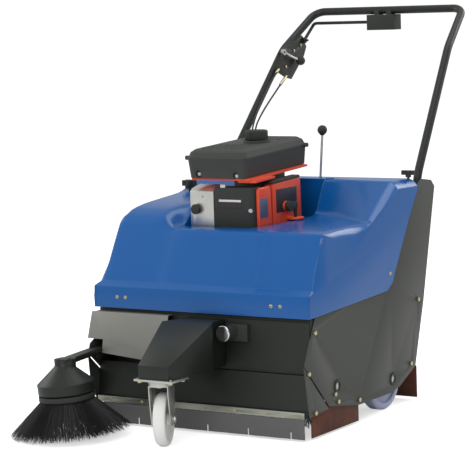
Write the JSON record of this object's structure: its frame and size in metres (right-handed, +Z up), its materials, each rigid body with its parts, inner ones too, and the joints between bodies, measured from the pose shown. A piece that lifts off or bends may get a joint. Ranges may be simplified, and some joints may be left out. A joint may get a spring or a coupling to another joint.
{
  "type": "walk behind sweeper",
  "caption": "Petrol walk-behind sweeper with moulded hood, main broom, side broom, rear hopper, swivel caster and push handle.",
  "frame": {"origin": "middle of the assembly's footprint, on the floor", "axes": "+Z up, -Y the front with the side broom and caster, +X to the left of an operator at the handle"},
  "size_m": [0.9186, 1.7108, 1.2675],
  "materials": {
    "hood_blue": "gloss moulded plastic",
    "black_paint": "satin powder coat",
    "olive_paint": "textured powder coat",
    "grey_steel": "speckled hammer finish",
    "zinc": "zinc plate",
    "yellow_zinc": "yellow passivated zinc",
    "chrome": "bright plate",
    "rubber": "matt rubber",
    "bristle": "bristles",
    "nylon_white": "nylon",
    "nylon_blue": "nylon",
    "black_plastic": "grained plastic",
    "tank_plastic": "blow-moulded plastic",
    "engine_red": "gloss enamel",
    "aluminium": "satin sheet",
    "cast_alu": "sand cast",
    "steel": "turned steel",
    "hot_steel": "heat-dulled sheet",
    "filter_paper": "pleated paper"
  },
  "bodies": {
    "chassis": {"air_cleaner_box": "aluminium", "apron": "black_paint", "bearings": "cast_alu", "blower_housing": "engine_red", "broom_belt": "rubber", "broom_tunnel": "black_paint", "caster_bracket": "black_paint", "caster_plate": "zinc", "corner_plates": "olive_paint", "dust_filter": "filter_paper", "engine_block": "cast_alu", "engine_front_cover": "black_plastic", "engine_side_shroud": "engine_red", "flap_screws": "yellow_zinc", "flap_strip": "yellow_zinc", "frame": "black_paint", "front_panel_black": "black_paint", "front_panel_grey": "grey_steel", "fuel_tank": "tank_plastic", "handle_brackets": "black_paint", "hex_bolts": "black_paint", "hood": "hood_blue", "knob_block": "black_plastic", "m6_screws": "zinc", "muffler": "hot_steel", "rear_panel": "olive_paint", "rubber_skirts": "rubber", "side_panel_left": "olive_paint", "side_panel_right": "olive_paint", "tank_bracket": "engine_red"},
    "handle": {"handle_tube": "black_paint", "control_box": "black_plastic", "control_bracket": "black_paint", "control_hardware": "yellow_zinc", "throttle_cable": "black_plastic", "drive_cable": "black_plastic"},
    "bail": {"drive_bail": "black_paint"},
    "throttle": {"throttle_lever": "zinc"},
    "lift": {"lift_lever": "zinc"},
    "caster_swivel": {"caster_fork": "zinc", "caster_axle": "zinc"},
    "caster_roller": {"caster_wheel": "nylon_white"},
    "rear_drive": {"rear_axle": "steel", "rear_wheels": "nylon_blue"},
    "main_broom": {"broom_core": "steel", "broom_bristles": "bristle", "broom_pulley": "cast_alu"},
    "engine_output": {"engine_pulley": "cast_alu"},
    "broom_arm": {"side_arm": "black_paint"},
    "side_broom": {"side_broom_disc": "black_plastic", "side_broom_bristles": "bristle"},
    "hopper_drawer": {"hopper": "black_paint"},
    "hood_star_knob": {"star_knob": "black_plastic"},
    "cleaner_knob": {"air_cleaner_knob": "black_plastic"},
    "cap": {"fuel_cap": "black_plastic"},
    "recoil_grip": {"starter_grip": "black_plastic"},
    "left_clamp": {"clamp_knob_left": "black_plastic"},
    "right_clamp": {"clamp_knob_right": "black_plastic"},
    "front_turn_knob": {"front_knob": "chrome"},
    "flap": {"front_flap": "rubber"}
  },
  "joints": [
    {"name": "handle_angle", "type": "hinge", "parent": "chassis", "child": "handle", "pos_m": [0.06633, 0.30843, 0.664], "axis": [1, 0, 0], "range_deg": [-8, 10], "deforming": ["throttle_cable", "drive_cable"]},
    {"name": "bail_squeeze", "type": "hinge", "parent": "handle", "child": "bail", "pos_m": [-0.22917, 0.75543, 1.156], "axis": [1, 0, 0], "range_deg": [0, 6], "stiffness_Nm_per_rad": 2, "springref_deg": -8.59},
    {"name": "throttle_turn", "type": "hinge", "parent": "handle", "child": "throttle", "pos_m": [-0.23817, 0.60743, 1.12], "axis": [1, 0, 0], "range_deg": [-25, 25]},
    {"name": "lift_lever_swing", "type": "hinge", "parent": "chassis", "child": "lift", "pos_m": [0.12133, 0.23243, 0.6], "axis": [1, 0, 0], "range_deg": [-8, 8]},
    {"name": "caster_swivel_turn", "type": "hinge", "parent": "chassis", "child": "caster_swivel", "pos_m": [0.08733, -0.68457, 0.203], "axis": [0, 0, 1], "continuous": true},
    {"name": "caster_roll", "type": "hinge", "parent": "caster_swivel", "child": "caster_roller", "pos_m": [0.07422, -0.65212, 0.08], "axis": [0.9272, 0.3746, 0], "continuous": true},
    {"name": "rear_wheels_roll", "type": "hinge", "parent": "chassis", "child": "rear_drive", "pos_m": [0.06633, 0.08743, 0.1], "axis": [1, 0, 0], "continuous": true},
    {"name": "main_broom_spin", "type": "hinge", "parent": "chassis", "child": "main_broom", "pos_m": [0.06633, -0.26757, 0.139], "axis": [1, 0, 0], "continuous": true},
    {"name": "engine_output_spin", "type": "hinge", "parent": "chassis", "child": "engine_output", "pos_m": [-0.27967, -0.03257, 0.526], "axis": [1, 0, 0], "continuous": true},
    {"name": "side_arm_lift", "type": "hinge", "parent": "chassis", "child": "broom_arm", "pos_m": [-0.29567, -0.39757, 0.25], "axis": [-1, 0, 0], "range_deg": [0, 16]},
    {"name": "side_broom_spin", "type": "hinge", "parent": "broom_arm", "child": "side_broom", "pos_m": [-0.26467, -0.66057, 0.0151], "axis": [-0.0592, -0.037, 0.9976], "continuous": true},
    {"name": "hopper_pull", "type": "slide", "parent": "chassis", "child": "hopper_drawer", "axis": [0, 1, 0], "range_m": [0, 0.36]},
    {"name": "star_knob_turn", "type": "hinge", "parent": "chassis", "child": "hood_star_knob", "pos_m": [-0.28167, 0.06743, 0.692], "axis": [0, 0, 1], "continuous": true},
    {"name": "cleaner_knob_turn", "type": "hinge", "parent": "chassis", "child": "cleaner_knob", "pos_m": [-0.05967, -0.23057, 0.66], "axis": [0, 1, 0], "continuous": true},
    {"name": "fuel_cap_turn", "type": "hinge", "parent": "chassis", "child": "cap", "pos_m": [0.04733, -0.03551, 0.86678], "axis": [0, -0.0471, 0.9989], "range_deg": [0, 90]},
    {"name": "starter_pull", "type": "slide", "parent": "chassis", "child": "recoil_grip", "axis": [1, 0, 0], "range_m": [0, 0.25]},
    {"name": "left_clamp_turn", "type": "hinge", "parent": "chassis", "child": "left_clamp", "pos_m": [-0.29967, 0.25943, 0.725], "axis": [0, 0, 1], "continuous": true},
    {"name": "right_clamp_turn", "type": "hinge", "parent": "chassis", "child": "right_clamp", "pos_m": [0.43233, 0.25943, 0.725], "axis": [0, 0, 1], "continuous": true},
    {"name": "front_knob_turn", "type": "hinge", "parent": "chassis", "child": "front_turn_knob", "pos_m": [0.18833, -0.48257, 0.318], "axis": [0, 1, 0], "range_deg": [0, 90]},
    {"name": "front_flap_swing", "type": "hinge", "parent": "chassis", "child": "flap", "pos_m": [0.06633, -0.45257, 0.067], "axis": [1, 0, 0], "range_deg": [-4, 28]}
  ],
  "couplings": [
    {"joint": "engine_output_spin", "follows": "main_broom_spin", "ratio": 1.875},
    {"joint": "side_broom_spin", "follows": "main_broom_spin", "ratio": 0.25}
  ]
}
